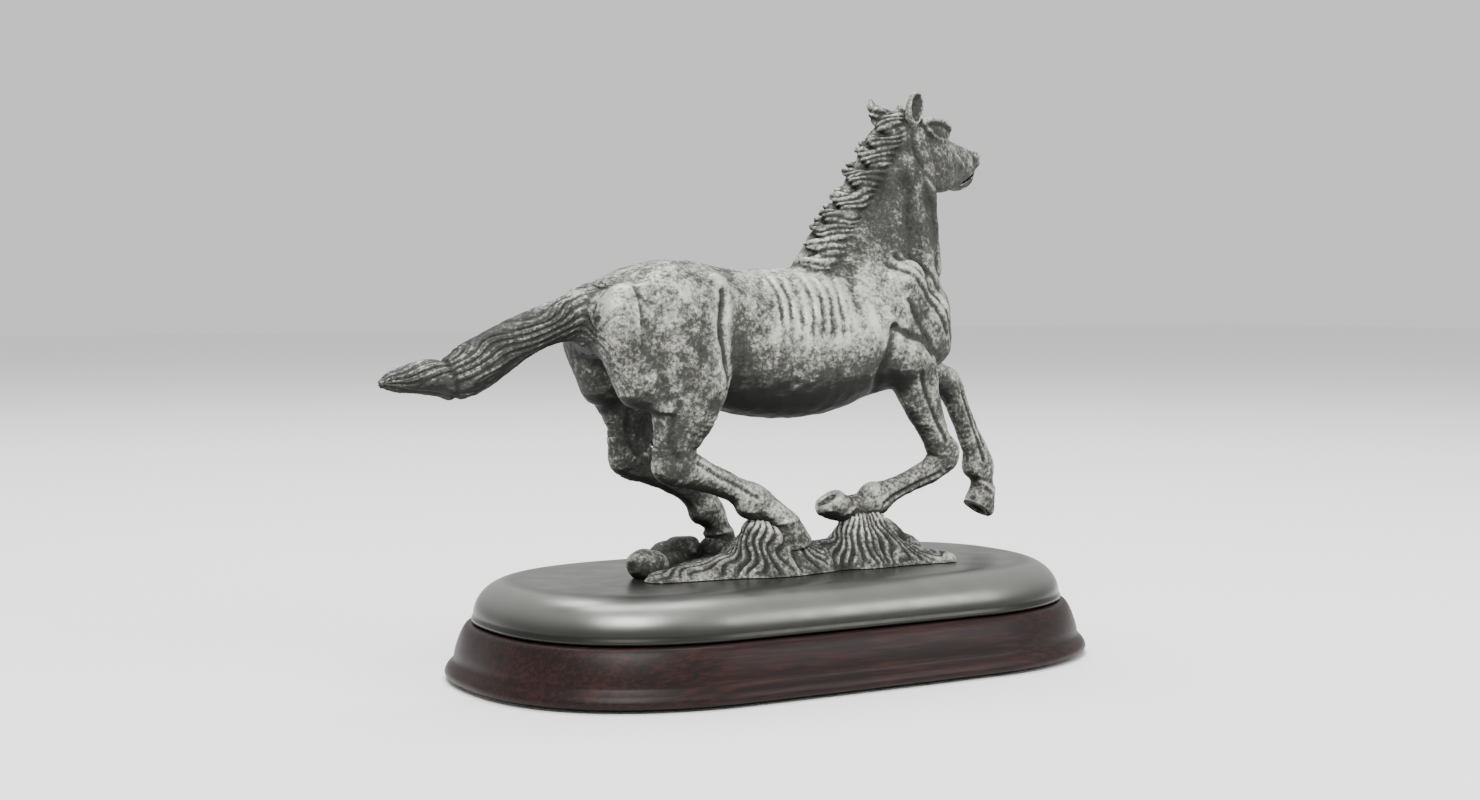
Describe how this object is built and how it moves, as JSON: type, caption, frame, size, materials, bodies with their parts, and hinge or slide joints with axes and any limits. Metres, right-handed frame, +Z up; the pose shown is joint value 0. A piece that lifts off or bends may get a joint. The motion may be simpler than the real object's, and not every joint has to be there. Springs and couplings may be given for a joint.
{
  "type": "horse statue",
  "caption": "Galloping horse cast in joined sections, on a cast grass mound, a rounded satin metal plinth cap and a moulded dark wood base.",
  "frame": {"origin": "centre of the underside of the felt pad, below the centre of the base", "axes": "+X the way the horse faces, along the base; +Y the horse's left side; +Z up"},
  "size_m": [0.2791, 0.1386, 0.2142],
  "materials": {
    "antique_bronze": "antiqued silver-grey patina, satin on the worn high spots",
    "satin_cap_metal": "satin silvered, lacquered",
    "mahogany": "dark stained mahogany, satin lacquer",
    "baize": "dark green felt",
    "steel": "bright zinc plated"
  },
  "bodies": {
    "root": {"trunk": "antique_bronze", "neck_and_head": "antique_bronze", "tail": "antique_bronze", "right_hind_leg": "antique_bronze", "left_hind_leg": "antique_bronze", "right_fore_leg": "antique_bronze", "left_fore_leg": "antique_bronze", "turf": "antique_bronze", "plinth_cap": "satin_cap_metal", "wood_base": "mahogany", "felt_pad": "baize", "right_hind_leg_pin": "steel", "left_hind_leg_pin": "steel", "right_fore_leg_pin": "steel", "left_fore_leg_pin": "steel", "tail_pin": "steel", "right_hind_leg_hoof_pin": "steel", "left_hind_leg_hoof_pin": "steel", "right_fore_leg_hoof_pin": "steel", "mounting_stud_1": "steel", "washer_1": "steel", "nut_1": "steel", "mounting_stud_2": "steel", "washer_2": "steel", "nut_2": "steel", "cap_screw_1": "steel", "cap_screw_2": "steel"}
  },
  "joints": []
}
